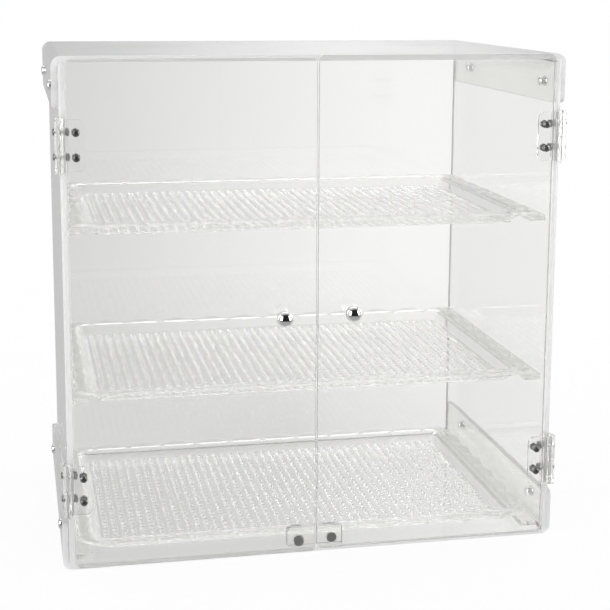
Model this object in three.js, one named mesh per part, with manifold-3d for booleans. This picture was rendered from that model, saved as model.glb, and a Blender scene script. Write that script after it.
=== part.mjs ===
// Countertop bakery display case: a clear acrylic box with two hinged front doors and three trays.
// Millimetres, +Z up, doors facing -Y. The origin is the centre of the case's footprint, on its underside.
import * as THREE from 'three';
import { mergeVertices } from 'three/addons/utils/BufferGeometryUtils.js';
import Module from 'manifold-3d';

const wasm = await Module();
wasm.setup();

// Case
const caseWidth = 488; // over the outer faces of the bent flanges
const caseDepth = 328; // side panels, front edge to back edge
const caseHeight = 485;
const sheet = 5.6; // acrylic sheet
const gap = 0.3; // between neighbouring pieces
const bendRadius = 9; // outside of each bend
const topFlange = 47.5;
const bottomFlange = 46;
const flangeCorner = 6;
const frontSetback = 6.2; // top and bottom panels stop this far behind the side panels' front edges

// Doors
const doorHeight = 480;
const seamGap = 1.8;
const sideGap = 1.4;
const doorCorner = 5.5;
const rightDoorBottom = 5;
const leftDoorDrop = 2.2; // the left door hangs a little lower than the right one

// Hinges
const hingeHeights = { bottom: 82, top: 406.2 };
const leftHingeDrop = 1;
const knuckleRadius = 3.8;
const pinRadius = 1.5;
const leafReach = 23.5; // hinge axis to the leaf's far edge
const leafThickness = 3;
const leafHalfHeight = 23.5;
const leafCorner = 6;
const knuckleEdges = [25.4, 16.4, 0, -17, -25.4];
const screwReach = 15.3; // hinge axis to the screw line
const screwHalfPitch = 11.4;

// Fasteners
const postHeights = { bottom: 31.9, top: 456.3 };
const postDepths = { front: 45.2, back: 273.4 }; // from the side panels' front edges
const postShank = 2.4;
const postHead = 5.3;
const screwShank = 2;
const holeClearance = 0.3;

// Trays
const trayLength = 460;
const trayWidth = 305;
const trayHeight = 13;
const trayWall = 1.8;
const rimWidth = 15;
const rimThickness = 2;
const rimScallop = 39.6;
const scallopRise = 3;
const wallSlope = 8;
const trayBackGap = 0.9;
const rimHeights = { bottom: 18.9, middle: 167.5, top: 329.2 };

// Rails, knobs and catch
const railWidth = 16.3;
const railFront = 17;
const knobRadius = 8;
const knobReach = 33.2;
const knobHeight = 241;
const strikeReach = 16.4;
const strikeHeight = 13.7;
const strikeRadius = 4.7;
const catchWidth = 55.2;
const catchDepth = 7.5;
const catchHeight = 20;

// Derived
const front = -caseDepth / 2;
const back = caseDepth / 2;
const panelFront = front + frontSetback;
const sideOuter = caseWidth / 2 - sheet - gap;
const sideInner = sideOuter - sheet;
const doorBack = front + sheet;
const axisX = sideOuter + 0.5;
const axisY = front - knuckleRadius - gap;

const model = new THREE.Group();

function material(color, roughness, metalness, opacity) {
  return new THREE.MeshStandardMaterial({
    color, roughness, metalness, opacity, transparent: opacity < 1,
  });
}

function add(name, geometry, color, roughness, metalness, opacity) {
  const mesh = new THREE.Mesh(geometry, material(color, roughness, metalness, opacity));
  mesh.name = name;
  model.add(mesh);
}

function addAcrylic(name, geometry) {
  add(name, geometry, 0xf1f1ef, 0.04, 0, 0.3);
}

function addPolycarbonate(name, geometry) {
  add(name, geometry, 0xeeeeec, 0.12, 0, 0.45);
}

function solidOf(geometry) {
  const bare = geometry.clone();
  bare.deleteAttribute('normal');
  bare.deleteAttribute('uv');
  const merged = mergeVertices(bare, 1e-4);
  return new wasm.Manifold(new wasm.Mesh({
    numProp: 3,
    vertProperties: new Float32Array(merged.attributes.position.array),
    triVerts: new Uint32Array(merged.index.array),
  }));
}

function geometryOf(solid) {
  const mesh = solid.getMesh();
  const positions = new Float32Array(mesh.numVert * 3);
  for (let i = 0; i < mesh.numVert; i += 1) {
    for (let k = 0; k < 3; k += 1) {
      positions[3 * i + k] = mesh.vertProperties[mesh.numProp * i + k];
    }
  }
  const geometry = new THREE.BufferGeometry();
  geometry.setAttribute('position', new THREE.BufferAttribute(positions, 3));
  geometry.setIndex(new THREE.BufferAttribute(new Uint32Array(mesh.triVerts), 1));
  geometry.computeVertexNormals();
  return geometry;
}

function cut(geometry, tools) {
  let solid = solidOf(geometry);
  for (const tool of tools) {
    solid = solid.subtract(solidOf(tool));
  }
  return geometryOf(solid);
}

function join(geometries) {
  let solid = solidOf(geometries[0]);
  for (const geometry of geometries.slice(1)) {
    solid = solid.add(solidOf(geometry));
  }
  return geometryOf(solid);
}

// A box given by its two limits along each axis
function box(x0, x1, y0, y1, z0, z1) {
  const geometry = new THREE.BoxGeometry(Math.abs(x1 - x0), Math.abs(y1 - y0), Math.abs(z1 - z0));
  return geometry.translate((x0 + x1) / 2, (y0 + y1) / 2, (z0 + z1) / 2);
}

function roundedRectangle(u0, u1, v0, v1, radius) {
  const shape = new THREE.Shape();
  shape.moveTo(u0 + radius, v0);
  shape.lineTo(u1 - radius, v0);
  shape.absarc(u1 - radius, v0 + radius, radius, -Math.PI / 2, 0, false);
  shape.lineTo(u1, v1 - radius);
  shape.absarc(u1 - radius, v1 - radius, radius, 0, Math.PI / 2, false);
  shape.lineTo(u0 + radius, v1);
  shape.absarc(u0 + radius, v1 - radius, radius, Math.PI / 2, Math.PI, false);
  shape.lineTo(u0, v0 + radius);
  shape.absarc(u0 + radius, v0 + radius, radius, Math.PI, 1.5 * Math.PI, false);
  return shape;
}

// An XZ outline swept along Y from y0 to y1
function sweepY(shape, y0, y1, curveSegments = 3) {
  const geometry = new THREE.ExtrudeGeometry(shape, {
    depth: y1 - y0, bevelEnabled: false, curveSegments,
  });
  return geometry.rotateX(Math.PI / 2).translate(0, y1, 0);
}

// A YZ outline swept along X from x0 to x1
function sweepX(shape, x0, x1, curveSegments = 3) {
  const geometry = new THREE.ExtrudeGeometry(shape, {
    depth: x1 - x0, bevelEnabled: false, curveSegments,
  });
  const turn = new THREE.Matrix4().makeBasis(
    new THREE.Vector3(0, 1, 0),
    new THREE.Vector3(0, 0, 1),
    new THREE.Vector3(1, 0, 0),
  );
  return geometry.applyMatrix4(turn).translate(x0, 0, 0);
}

function rodX(x0, x1, y, z, radius, segments = 10) {
  const geometry = new THREE.CylinderGeometry(radius, radius, Math.abs(x1 - x0), segments);
  return geometry.rotateZ(-Math.PI / 2).translate((x0 + x1) / 2, y, z);
}

function rodY(y0, y1, x, z, radius, segments = 10) {
  const geometry = new THREE.CylinderGeometry(radius, radius, Math.abs(y1 - y0), segments);
  return geometry.translate(x, (y0 + y1) / 2, z);
}

function rodZ(z0, z1, x, y, radius, segments = 12) {
  const geometry = new THREE.CylinderGeometry(radius, radius, Math.abs(z1 - z0), segments);
  return geometry.rotateX(Math.PI / 2).translate(x, y, (z0 + z1) / 2);
}

// A turned piece: pairs of radius and height along its axis, from its low end up
function turned(pairs, segments = 12) {
  return new THREE.LatheGeometry(pairs.map(([r, h]) => new THREE.Vector2(r, h)), segments);
}

// A flat sheet with both long edges bent up; its underside lies on z = 0
function bentPanel(flangeHeight) {
  const half = caseWidth / 2;
  const innerRadius = bendRadius - sheet;
  const outline = new THREE.Shape();
  outline.moveTo(-half, flangeHeight);
  outline.lineTo(-half, bendRadius);
  outline.absarc(-half + bendRadius, bendRadius, bendRadius, Math.PI, 1.5 * Math.PI, false);
  outline.lineTo(half - bendRadius, 0);
  outline.absarc(half - bendRadius, bendRadius, bendRadius, -Math.PI / 2, 0, false);
  outline.lineTo(half, flangeHeight);
  outline.lineTo(half - sheet, flangeHeight);
  outline.lineTo(half - sheet, bendRadius);
  outline.absarc(half - bendRadius, bendRadius, innerRadius, 0, -Math.PI / 2, true);
  outline.lineTo(-half + bendRadius, sheet);
  outline.absarc(-half + bendRadius, bendRadius, innerRadius, 1.5 * Math.PI, Math.PI, true);
  outline.lineTo(-half + sheet, flangeHeight);
  const sideView = roundedRectangle(panelFront, back, -40, flangeHeight, flangeCorner);
  const panel = solidOf(sweepY(outline, panelFront, back));
  const mask = solidOf(sweepX(sideView, -caseWidth, caseWidth));
  return geometryOf(panel.intersect(mask));
}

function postHoles(z, x0, x1) {
  const holes = [];
  for (const depth of Object.values(postDepths)) {
    holes.push(rodX(x0, x1, front + depth, z, postShank + holeClearance));
  }
  return holes;
}

function makeBentPanels() {
  const reach = caseWidth / 2 + 5;
  const bottom = cut(bentPanel(bottomFlange), postHoles(postHeights.bottom, -reach, reach));
  addAcrylic('bottom_panel', bottom);
  const lid = bentPanel(topFlange).rotateY(Math.PI).translate(0, 0, caseHeight);
  addAcrylic('top_panel', cut(lid, postHoles(postHeights.top, -reach, reach)));
}

// Side panel: its outer long edges are rounded to nest inside the bends
function makeSidePanel(name, side) {
  const z0 = sheet + gap;
  const z1 = caseHeight - sheet - gap;
  const round = bendRadius - sheet - gap;
  const outline = new THREE.Shape();
  outline.moveTo(sideInner, z0);
  outline.lineTo(sideOuter - round, z0);
  outline.absarc(sideOuter - round, z0 + round, round, -Math.PI / 2, 0, false);
  outline.lineTo(sideOuter, z1 - round);
  outline.absarc(sideOuter - round, z1 - round, round, 0, Math.PI / 2, false);
  outline.lineTo(sideInner, z1);
  let panel = sweepY(outline, front, back);
  if (side < 0) {
    panel = panel.rotateZ(Math.PI);
  }
  const x0 = side * (sideInner - 5);
  const x1 = side * (sideOuter + 5);
  const holes = [...postHoles(postHeights.bottom, x0, x1), ...postHoles(postHeights.top, x0, x1)];
  for (const z of hingeScrewHeights(side)) {
    holes.push(rodX(x0, x1, axisY + screwReach, z, screwShank + holeClearance));
  }
  addAcrylic(name, cut(panel, holes));
}

function makeBackPanel() {
  const reach = sideInner - gap;
  const panel = box(-reach, reach, back - sheet, back, sheet + gap, caseHeight - sheet - gap);
  addAcrylic('back_panel', panel);
}

function hingeCentre(side, place) {
  return hingeHeights[place] - (side < 0 ? leftHingeDrop : 0);
}

function hingeScrewHeights(side) {
  const heights = [];
  for (const place of Object.keys(hingeHeights)) {
    heights.push(hingeCentre(side, place) - screwHalfPitch);
    heights.push(hingeCentre(side, place) + screwHalfPitch);
  }
  return heights;
}

function doorDrop(side) {
  return side < 0 ? leftDoorDrop : 0;
}

function makeDoor(name, side) {
  const near = side * (seamGap / 2);
  const far = side * (sideInner - sideGap);
  const z0 = rightDoorBottom - doorDrop(side);
  const outline = roundedRectangle(Math.min(near, far), Math.max(near, far), z0, z0 + doorHeight, doorCorner);
  const panel = sweepY(outline, front, doorBack);
  const holeRadius = screwShank + holeClearance;
  const holes = [rodY(front - 2, doorBack + 2, side * knobReach, knobHeight - doorDrop(side), holeRadius)];
  for (const z of hingeScrewHeights(side)) {
    holes.push(rodY(front - 2, doorBack + 2, side * (axisX - screwReach), z, holeRadius));
  }
  addAcrylic(name, cut(panel, holes));
}

// The two leaves share one design; knuckles 1 and 3 belong to the side leaf, 2 and 4 to the door leaf
function makeHinge(prefix, side, place) {
  const z = hingeCentre(side, place);
  const x = side * axisX;
  const clear = knuckleRadius + gap;
  const pinHole = rodZ(z - 40, z + 40, x, axisY, pinRadius + holeClearance, 10);

  const faceY = front - gap;
  const doorParts = [];
  const edge = x - side * leafReach;
  const root = x - side * clear;
  const plate = roundedRectangle(Math.min(edge, root), Math.max(edge, root),
    z - leafHalfHeight, z + leafHalfHeight, leafCorner);
  doorParts.push(sweepY(plate, faceY - leafThickness, faceY));
  doorParts.push(box(root, root - side * 8, faceY - leafThickness, faceY,
    z - leafHalfHeight, z + leafHalfHeight));

  const faceX = side * (sideOuter + gap);
  const sideParts = [];
  const blade = roundedRectangle(axisY + clear, axisY + leafReach,
    z - leafHalfHeight, z + leafHalfHeight, leafCorner);
  const outerX = faceX + side * leafThickness;
  sideParts.push(sweepX(blade, Math.min(faceX, outerX), Math.max(faceX, outerX)));
  sideParts.push(box(faceX, outerX, axisY + clear, axisY + clear + 8,
    z - leafHalfHeight, z + leafHalfHeight));

  for (let i = 0; i < 4; i += 1) {
    const top = z + knuckleEdges[i] - 0.2;
    const low = z + knuckleEdges[i + 1] + 0.2;
    const plateTop = Math.min(top, z + leafHalfHeight);
    const plateLow = Math.max(low, z - leafHalfHeight);
    const barrel = rodZ(low, top, x, axisY, knuckleRadius);
    if (i % 2 === 0) {
      sideParts.push(barrel);
      sideParts.push(box(faceX, outerX, axisY, axisY + clear + 1, plateLow, plateTop));
    } else {
      doorParts.push(barrel);
      doorParts.push(box(x, root - side, faceY - leafThickness, faceY, plateLow, plateTop));
    }
  }

  const doorHoles = [pinHole];
  const sideHoles = [pinHole];
  for (const dz of [-screwHalfPitch, screwHalfPitch]) {
    doorHoles.push(rodY(faceY - 5, faceY + 2, x - side * screwReach, z + dz, screwShank + holeClearance));
    sideHoles.push(rodX(faceX - side * 2, faceX + side * 5, axisY + screwReach, z + dz,
      screwShank + holeClearance));
  }
  addPolycarbonate(`${prefix}_door_leaf`, cut(join(doorParts), doorHoles));
  addPolycarbonate(`${prefix}_side_leaf`, cut(join(sideParts), sideHoles));
  const pin = rodZ(z + knuckleEdges[4], z + knuckleEdges[0], x, axisY, pinRadius, 10);
  add(`${prefix}_pin`, pin, 0xe4e4e2, 0.2, 0, 0.6);
}

// Pan-head screw with its nut: the head lies below height 0, the shank rises through the grip
function screwAndNut(grip) {
  const head = 3.4;
  const screw = turned([[0, -2], [2.7, -1.7], [head, 0], [screwShank, 0],
    [screwShank, grip + 3.8], [0, grip + 3.8]], 10);
  const nut = new THREE.CylinderGeometry(4, 4, 3.2, 6).translate(0, grip + 1.6, 0);
  return join([screw, nut]);
}

function makeHingeScrews(prefix, side, place) {
  const z = hingeCentre(side, place);
  const grip = leafThickness + sheet + 3 * gap;
  for (const [row, dz] of [['lower', -screwHalfPitch], ['upper', screwHalfPitch]]) {
    const doorScrew = screwAndNut(grip);
    doorScrew.translate(side * (axisX - screwReach), front - leafThickness - 2 * gap, z + dz);
    add(`${prefix}_door_screw_${row}`, doorScrew, 0x4a4a48, 0.35, 0.9, 1);
    const sideScrew = screwAndNut(grip).rotateZ(side * Math.PI / 2);
    sideScrew.translate(side * (sideOuter + leafThickness + 2 * gap), axisY + screwReach, z + dz);
    add(`${prefix}_side_screw_${row}`, sideScrew, 0x4a4a48, 0.35, 0.9, 1);
  }
}

// Binding post through a flange and a side panel, with a domed head at each end
function makePost(name, side, y, z) {
  const grip = 2 * sheet + 3 * gap;
  const post = turned([[0, -2.2], [3.6, -1.6], [postHead, 0], [postShank, 0],
    [postShank, grip], [postHead - 0.5, grip], [3.3, grip + 1.3], [0, grip + 1.7]]);
  post.rotateZ(side * Math.PI / 2).translate(side * (caseWidth / 2 + gap), y, z);
  add(name, post, 0xd9d9d6, 0.12, 0.8, 1);
}

function makePosts() {
  for (const [sideName, side] of [['left', -1], ['right', 1]]) {
    for (const [place, z] of Object.entries(postHeights)) {
      for (const [end, depth] of Object.entries(postDepths)) {
        makePost(`post_${sideName}_${place}_${end}`, side, front + depth, z);
      }
    }
  }
}

// Round-cornered block whose side walls lean in by `lean` towards the bottom
function taperedBlock(length, width, z0, z1, radius, lean) {
  const outline = roundedRectangle(-length / 2, length / 2, -width / 2, width / 2, radius);
  const geometry = new THREE.ExtrudeGeometry(outline, { depth: z1 - z0, bevelEnabled: false, curveSegments: 2 });
  const position = geometry.attributes.position;
  for (let i = 0; i < position.count; i += 1) {
    const low = 1 - position.getZ(i) / (z1 - z0);
    position.setX(i, position.getX(i) * (1 - low * 2 * lean / length));
    position.setY(i, position.getY(i) * (1 - low * 2 * lean / width));
  }
  return geometry.translate(0, 0, z0);
}

// Outer line of the tray rim: shallow arcs that meet in cusps, and a quarter round at each corner
function rimOutline() {
  const corner = 14;
  const shape = new THREE.Shape();
  const halfL = trayLength / 2;
  const halfW = trayWidth / 2;
  const sides = [
    { from: [-halfL + corner, -halfW], to: [halfL - corner, -halfW], out: [0, -1] },
    { from: [halfL, -halfW + corner], to: [halfL, halfW - corner], out: [1, 0] },
    { from: [halfL - corner, halfW], to: [-halfL + corner, halfW], out: [0, 1] },
    { from: [-halfL, halfW - corner], to: [-halfL, -halfW + corner], out: [-1, 0] },
  ];
  const steps = 3;
  shape.moveTo(sides[0].from[0], sides[0].from[1] + scallopRise);
  for (const side of sides) {
    const run = [side.to[0] - side.from[0], side.to[1] - side.from[1]];
    const count = Math.round(Math.hypot(...run) / rimScallop);
    for (let i = 0; i < count; i += 1) {
      for (let k = 0; k <= steps; k += 1) {
        const along = (i + k / steps) / count;
        const inset = scallopRise * (1 - Math.sin(Math.PI * k / steps));
        shape.lineTo(
          side.from[0] + run[0] * along - side.out[0] * inset,
          side.from[1] + run[1] * along - side.out[1] * inset,
        );
      }
    }
  }
  shape.closePath();
  return shape;
}

function makeTray(name, rimTop) {
  const base = rimTop - trayHeight;
  const centreY = back - sheet - trayBackGap - trayWidth / 2;
  const rim = new THREE.ExtrudeGeometry(rimOutline(), { depth: rimThickness, bevelEnabled: false });
  rim.translate(0, 0, rimTop - rimThickness);
  const length = trayLength - 2 * rimWidth;
  const width = trayWidth - 2 * rimWidth;
  const shell = taperedBlock(length, width, base, rimTop - 0.5, 14, wallSlope);
  const hollow = taperedBlock(length - 2 * trayWall, width - 2 * trayWall,
    base + trayWall, rimTop + 1, 12.5, wallSlope);
  const tray = cut(join([rim, shell]), [hollow]).translate(0, centreY, 0);
  addPolycarbonate(name, tray);
}

// Ledge strips bonded along the side panels; the trays' rims rest on the upper two pairs
function makeRails() {
  const tops = {
    bottom: 2 * sheet + gap,
    middle: rimHeights.middle - rimThickness - gap,
    top: rimHeights.top - rimThickness - gap,
  };
  for (const [place, top] of Object.entries(tops)) {
    for (const [sideName, side] of [['left', -1], ['right', 1]]) {
      const outer = side * (sideInner - gap);
      const inner = outer - side * railWidth;
      addAcrylic(`${place}_rail_${sideName}`,
        box(inner, outer, front + railFront, back - sheet - gap, top - sheet, top));
    }
  }
}

// Ball knob on a short neck, with its screw through the door
function makeKnob(name, side) {
  const grip = sheet + 2 * gap;
  const points = [[0, -grip - 2.2], [3, -grip - 1.8], [4, -grip], [screwShank, -grip],
    [screwShank, 0], [4.2, 0]];
  const centre = knobRadius + 1;
  const steps = 8;
  for (let i = 0; i <= steps; i += 1) {
    const angle = -1.13 + (Math.PI / 2 + 1.13) * i / steps;
    points.push([i === steps ? 0 : knobRadius * Math.cos(angle), centre + knobRadius * Math.sin(angle)]);
  }
  const knob = turned(points, 16).rotateX(Math.PI);
  knob.translate(side * knobReach, front - gap, knobHeight - doorDrop(side));
  add(name, knob, 0xd8d8da, 0.03, 1, 1);
}

function makeCatch() {
  const face = doorBack + 2.6;
  const z0 = sheet + gap;
  const radius = 4;
  const half = catchWidth / 2;
  const outline = new THREE.Shape();
  outline.moveTo(-half, z0);
  outline.lineTo(half, z0);
  outline.lineTo(half, z0 + catchHeight - radius);
  outline.absarc(half - radius, z0 + catchHeight - radius, radius, 0, Math.PI / 2, false);
  outline.lineTo(-half + radius, z0 + catchHeight);
  outline.absarc(-half + radius, z0 + catchHeight - radius, radius, Math.PI / 2, Math.PI, false);
  const magnetHeight = strikeHeight - leftDoorDrop / 2;
  const block = sweepY(outline, face, face + catchDepth);
  const pockets = [-1, 1].map((side) => rodY(face - 1, face + 4.6, side * strikeReach, magnetHeight, 5.1, 16));
  addAcrylic('catch_block', cut(block, pockets));
  for (const [sideName, side] of [['left', -1], ['right', 1]]) {
    const magnet = rodY(face + gap, face + 4.3, side * strikeReach, magnetHeight, 4.8, 16);
    add(`${sideName}_magnet`, magnet, 0x8d8d8c, 0.3, 1, 1);
    const strike = rodY(doorBack + gap, doorBack + 1.9, side * strikeReach,
      strikeHeight - doorDrop(side), strikeRadius, 16);
    add(`${sideName}_strike`, strike, 0x5d5d5c, 0.4, 1, 1);
  }
}

makeBentPanels();
makeSidePanel('left_side_panel', -1);
makeSidePanel('right_side_panel', 1);
makeBackPanel();
makePosts();
makeRails();
for (const [place, rimTop] of Object.entries(rimHeights)) {
  makeTray(`${place}_tray`, rimTop);
}
for (const [sideName, side] of [['left', -1], ['right', 1]]) {
  makeDoor(`${sideName}_door`, side);
  makeKnob(`${sideName}_knob`, side);
  for (const place of Object.keys(hingeHeights)) {
    makeHinge(`${sideName}_${place}_hinge`, side, place);
    makeHingeScrews(`${sideName}_${place}_hinge`, side, place);
  }
}
makeCatch();

export default model;
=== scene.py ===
# Countertop bakery display case: a clear acrylic box with two hinged doors and three moulded trays.
# Metres, +Z up, doors facing -Y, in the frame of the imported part.
import math

import bmesh
import bpy
from mathutils import Matrix, Vector


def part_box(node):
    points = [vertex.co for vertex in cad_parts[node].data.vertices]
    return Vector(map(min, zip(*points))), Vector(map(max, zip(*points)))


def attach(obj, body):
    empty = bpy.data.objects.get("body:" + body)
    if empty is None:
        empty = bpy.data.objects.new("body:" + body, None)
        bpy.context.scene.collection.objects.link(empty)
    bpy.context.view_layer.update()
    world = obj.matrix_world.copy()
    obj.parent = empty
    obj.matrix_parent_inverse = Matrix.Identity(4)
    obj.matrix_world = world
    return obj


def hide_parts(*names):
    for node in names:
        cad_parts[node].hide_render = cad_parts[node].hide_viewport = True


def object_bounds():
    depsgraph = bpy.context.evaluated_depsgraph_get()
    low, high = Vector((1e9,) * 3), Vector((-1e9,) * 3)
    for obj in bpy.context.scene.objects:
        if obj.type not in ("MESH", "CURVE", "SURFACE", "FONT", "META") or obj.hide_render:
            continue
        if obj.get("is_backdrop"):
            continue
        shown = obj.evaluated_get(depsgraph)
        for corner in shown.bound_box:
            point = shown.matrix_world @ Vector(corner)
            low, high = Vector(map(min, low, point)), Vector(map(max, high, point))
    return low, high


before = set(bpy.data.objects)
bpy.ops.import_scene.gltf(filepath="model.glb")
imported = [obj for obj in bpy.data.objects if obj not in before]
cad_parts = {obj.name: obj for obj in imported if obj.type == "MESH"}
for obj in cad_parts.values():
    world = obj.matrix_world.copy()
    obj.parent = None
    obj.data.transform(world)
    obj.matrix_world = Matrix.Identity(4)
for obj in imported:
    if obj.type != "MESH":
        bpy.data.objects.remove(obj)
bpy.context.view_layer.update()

# --- Bottom panel ------------------------------------------------------------------------------
# One sheet of cast acrylic whose two side edges are heated over a wire and bent up into flanges. Its
# sawn edges are scraped smooth, and each flange is drilled twice for the binding posts.
MM = 0.001
SHEET = 5.6 * MM
BEND_RADIUS = 9 * MM
POST_HOLE = 2.7 * MM
FLANGE_CORNER = 6 * MM


def linear(hex_colour):
    """An sRGB hex colour as linear RGBA."""
    channels = [int(hex_colour[i:i + 2], 16) / 255 for i in (1, 3, 5)]
    return [c / 12.92 if c <= 0.04045 else ((c + 0.055) / 1.055) ** 2.4 for c in channels] + [1.0]


def add_node(tree, kind, links=None, values=None, **settings):
    """A new node with its attributes, its input values and the sockets that feed it."""
    made = tree.nodes.new(kind)
    for key, value in settings.items():
        setattr(made, key, value)
    for key, value in (values or {}).items():
        made.inputs[key].default_value = value
    for key, socket in (links or {}).items():
        tree.links.new(socket, made.inputs[key])
    return made


def new_material(name):
    """An empty node material: its tree, its Object coordinates and its Principled node."""
    material = bpy.data.materials.new(name)
    material.use_nodes = True
    tree = material.node_tree
    tree.nodes.clear()
    place = add_node(tree, "ShaderNodeTexCoord").outputs["Object"]
    surface = add_node(tree, "ShaderNodeBsdfPrincipled")
    add_node(tree, "ShaderNodeOutputMaterial", links={"Surface": surface.outputs["BSDF"]})
    return material, tree, place, surface


# Cast acrylic (PMMA): IOR 1.49 and a near-perfect polish. Casting leaves a very gentle waviness and a
# trace of uneven tint, and wiping leaves faint hairlines.
acrylic, tree, place, surface = new_material("cast_acrylic_polished")
surface.inputs["IOR"].default_value = 1.49
surface.inputs["Transmission Weight"].default_value = 1.0
cloud = add_node(tree, "ShaderNodeTexNoise", links={"Vector": place},
                 values={"Scale": 6.0, "Detail": 1.0}).outputs["Fac"]
tint = add_node(tree, "ShaderNodeMix", data_type="RGBA", links={0: cloud},
                values={6: linear("#f7f7f6"), 7: linear("#fcfcfb")}).outputs[2]
tree.links.new(tint, surface.inputs["Base Color"])
hairline_space = add_node(tree, "ShaderNodeMapping", links={"Vector": place},
                          values={"Rotation": (0.3, 0.2, 0.5), "Scale": (900, 25, 25)}).outputs["Vector"]
hairlines = add_node(tree, "ShaderNodeTexNoise", links={"Vector": hairline_space},
                     values={"Scale": 1.0, "Detail": 3.0, "Roughness": 0.6}).outputs["Fac"]
polish = add_node(tree, "ShaderNodeMapRange", links={"Value": hairlines},
                  values={"From Min": 0.45, "From Max": 0.8, "To Min": 0.008, "To Max": 0.05})
tree.links.new(polish.outputs["Result"], surface.inputs["Roughness"])
waves = add_node(tree, "ShaderNodeTexNoise", links={"Vector": place},
                 values={"Scale": 9.0, "Detail": 1.0}).outputs["Fac"]
wave_bump = add_node(tree, "ShaderNodeBump", links={"Height": waves},
                     values={"Strength": 0.25, "Distance": 0.0006}).outputs["Normal"]
tree.links.new(wave_bump, surface.inputs["Normal"])

# A sawn and scraped acrylic edge: too finely frosted to look through, so it gathers light and looks white.
sawn_edge, tree, place, surface = new_material("sawn_acrylic_edge")
surface.inputs["IOR"].default_value = 1.49
surface.inputs["Transmission Weight"].default_value = 0.35
saw_space = add_node(tree, "ShaderNodeMapping", links={"Vector": place},
                     values={"Scale": (260, 260, 260)}).outputs["Vector"]
saw = add_node(tree, "ShaderNodeTexNoise", links={"Vector": saw_space},
               values={"Scale": 1.0, "Detail": 3.0}).outputs["Fac"]
frost = add_node(tree, "ShaderNodeMix", data_type="RGBA", links={0: saw},
                 values={6: linear("#fafafa"), 7: linear("#ffffff")}).outputs[2]
tree.links.new(frost, surface.inputs["Base Color"])
scraped = add_node(tree, "ShaderNodeMapRange", links={"Value": saw},
                   values={"To Min": 0.3, "To Max": 0.38}).outputs["Result"]
tree.links.new(scraped, surface.inputs["Roughness"])


def new_sheet(width, height, thickness, corner=0.0, holes=(), rounded=lambda co: True):
    """A flat plate lying on XY, centred, with rounded corners and drilled holes (x, y, radius)."""
    bm = bmesh.new()
    bmesh.ops.create_grid(bm, x_segments=1, y_segments=1, size=0.5)
    bmesh.ops.scale(bm, vec=(width, height, 1), verts=bm.verts)
    if corner:
        bmesh.ops.bevel(bm, geom=[v for v in bm.verts if rounded(v.co)], offset=corner,
                        offset_type="OFFSET", segments=8, profile=0.5, affect="VERTICES", material=-1)
    if holes:
        bmesh.ops.delete(bm, geom=bm.faces[:], context="FACES_ONLY")
        for x, y, radius in holes:
            ring = bmesh.ops.create_circle(bm, segments=24, radius=radius)
            bmesh.ops.translate(bm, verts=ring["verts"], vec=(x, y, 0))
        bmesh.ops.triangle_fill(bm, edges=bm.edges[:], use_beauty=True, normal=(0, 0, 1))
    raised = bmesh.ops.extrude_face_region(bm, geom=bm.faces[:])["geom"]
    bmesh.ops.translate(bm, verts=[g for g in raised if isinstance(g, bmesh.types.BMVert)],
                        vec=(0, 0, thickness))
    bmesh.ops.recalc_face_normals(bm, faces=bm.faces)
    return bm


def ease_edges(bm, radius, segments=2):
    """Rounds every edge that turns by more than a radian, and returns the new faces."""
    edges = [e for e in bm.edges if len(e.link_faces) == 2 and e.calc_face_angle(0) > 1.0]
    return bmesh.ops.bevel(bm, geom=edges, offset=radius, offset_type="OFFSET", segments=segments,
                           profile=0.5, affect="EDGES", material=-1, clamp_overlap=True)["faces"]


def saw_edges(bm, radius):
    """Eases a flat sheet's edges and gives its sawn sides and drilled holes the edge finish."""
    ease_edges(bm, radius)
    for face in bm.faces:
        if abs(face.normal.z) < 0.99:
            face.material_index = 1


def new_piece(name, bm, *materials, smooth=20):
    """A finished mesh object at the origin, smooth except where faces turn by more than `smooth` degrees."""
    mesh = bpy.data.meshes.new(name)
    bm.to_mesh(mesh)
    bm.free()
    if "custom_normal" in mesh.attributes:
        mesh.attributes.remove(mesh.attributes["custom_normal"])
    mesh.shade_smooth()
    mesh.set_sharp_from_angle(angle=math.radians(smooth))
    for material in materials:
        mesh.materials.append(material)
    piece = bpy.data.objects.new(name, mesh)
    bpy.context.scene.collection.objects.link(piece)
    return piece


def bend_flanges(bm, half_width):
    """Bends a flat sheet's two side edges up around the bend radius. Each bend is cut into twelve steps."""
    flat_half = half_width - BEND_RADIUS
    arc = BEND_RADIUS * math.pi / 2
    cuts = [flat_half - MM] + [flat_half + arc * k / 12 for k in range(13)] + [flat_half + arc + MM]
    for x in [s * c for c in cuts for s in (-1, 1)]:
        bmesh.ops.bisect_plane(bm, geom=bm.verts[:] + bm.edges[:] + bm.faces[:], dist=1e-6,
                               plane_co=(x, 0, 0), plane_no=(1, 0, 0))
    for vert in bm.verts:
        side = 1 if vert.co.x > 0 else -1
        reach, depth = abs(vert.co.x), vert.co.z
        if reach > flat_half + arc:
            vert.co.x = side * (half_width - depth)
            vert.co.z = BEND_RADIUS + reach - flat_half - arc
        elif reach > flat_half:
            turn = (reach - flat_half) / BEND_RADIUS
            vert.co.x = side * (flat_half + (BEND_RADIUS - depth) * math.sin(turn))
            vert.co.z = BEND_RADIUS - (BEND_RADIUS - depth) * math.cos(turn)


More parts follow.
